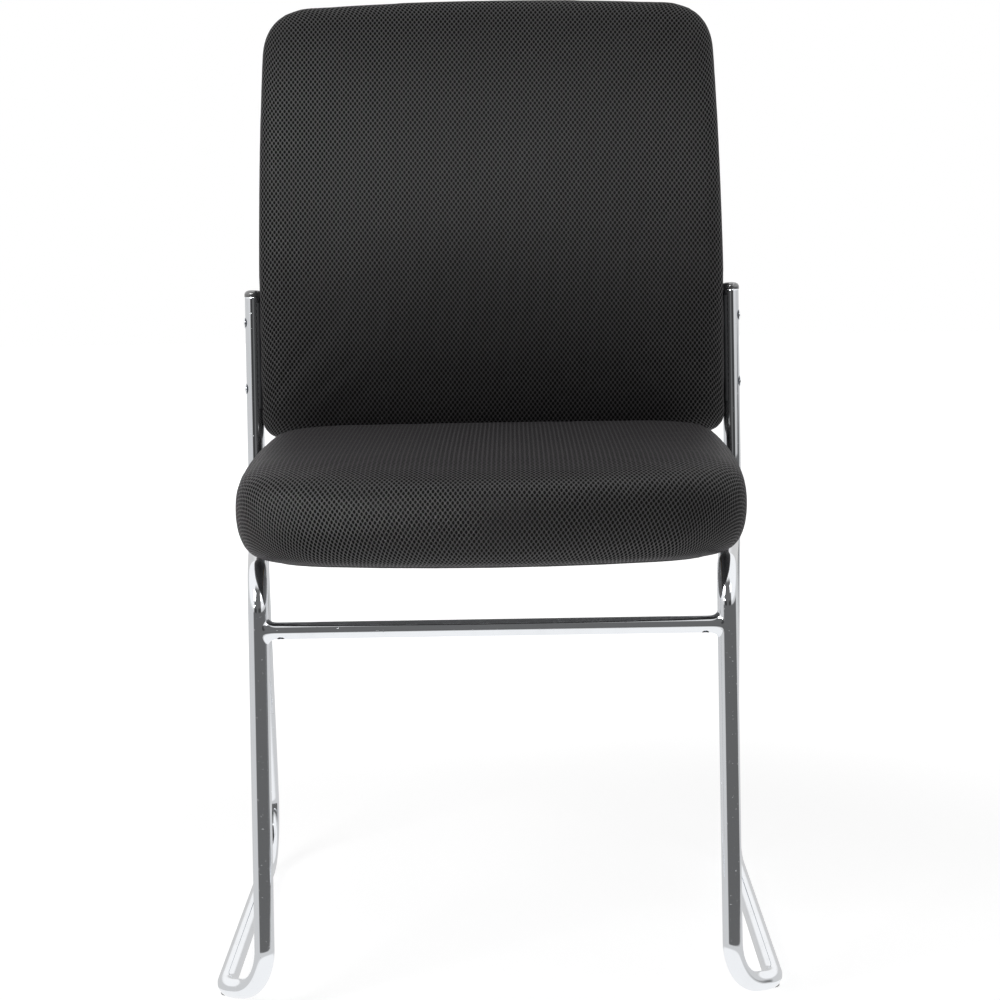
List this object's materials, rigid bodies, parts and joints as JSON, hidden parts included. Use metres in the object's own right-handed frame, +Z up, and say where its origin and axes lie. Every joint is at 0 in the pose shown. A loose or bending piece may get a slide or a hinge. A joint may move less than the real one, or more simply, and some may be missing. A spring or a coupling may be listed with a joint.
{
  "type": "sled base visitor chair",
  "caption": "Armless visitor chair: two bent tube side frames on floor rails carry a thick padded seat and a tall padded back covered in spacer mesh.",
  "frame": {"origin": "middle of the bounding box's base, on the floor under the glides", "axes": "+Z up, the sitter faces -Y, +X to the right of someone looking at the chair's front"},
  "size_m": [0.5274, 0.5862, 0.9356],
  "materials": {
    "chrome": "bright chrome plate",
    "zinc": "zinc plate",
    "black_steel": "satin black",
    "black_plastic": "fine grain",
    "spacer_mesh": "black spacer mesh with small staggered holes",
    "plywood": "bare",
    "nonwoven": "black nonwoven cloth"
  },
  "bodies": {
    "root": {"back_board": "plywood", "back_bolt_lower_left": "chrome", "back_bolt_lower_right": "chrome", "back_bolt_upper_left": "chrome", "back_bolt_upper_right": "chrome", "back_bracket_left": "black_steel", "back_bracket_right": "black_steel", "back_cushion": "spacer_mesh", "back_nut_lower_left": "zinc", "back_nut_lower_right": "zinc", "back_nut_upper_left": "zinc", "back_nut_upper_right": "zinc", "back_shell": "black_plastic", "bracket_screw_lower_left": "zinc", "bracket_screw_lower_right": "zinc", "bracket_screw_upper_left": "zinc", "bracket_screw_upper_right": "zinc", "front_crossbar": "chrome", "glide_front_left": "black_plastic", "glide_front_right": "black_plastic", "glide_rear_left": "black_plastic", "glide_rear_right": "black_plastic", "post_cap_left": "black_plastic", "post_cap_right": "black_plastic", "rear_crossbar": "chrome", "seat_board": "plywood", "seat_cushion": "spacer_mesh", "seat_dust_cover": "nonwoven", "seat_screw_front_left": "zinc", "seat_screw_front_right": "zinc", "seat_screw_rear_left": "zinc", "seat_screw_rear_right": "zinc", "seat_tab_front_left": "chrome", "seat_tab_front_right": "chrome", "seat_tab_rear_left": "chrome", "seat_tab_rear_right": "chrome", "shell_screw_lower_left": "black_steel", "shell_screw_lower_right": "black_steel", "shell_screw_upper_left": "black_steel", "shell_screw_upper_right": "black_steel", "side_frame_left": "chrome", "side_frame_right": "chrome", "tee_nut_front_left": "zinc", "tee_nut_front_right": "zinc", "tee_nut_rear_left": "zinc", "tee_nut_rear_right": "zinc"}
  },
  "joints": []
}
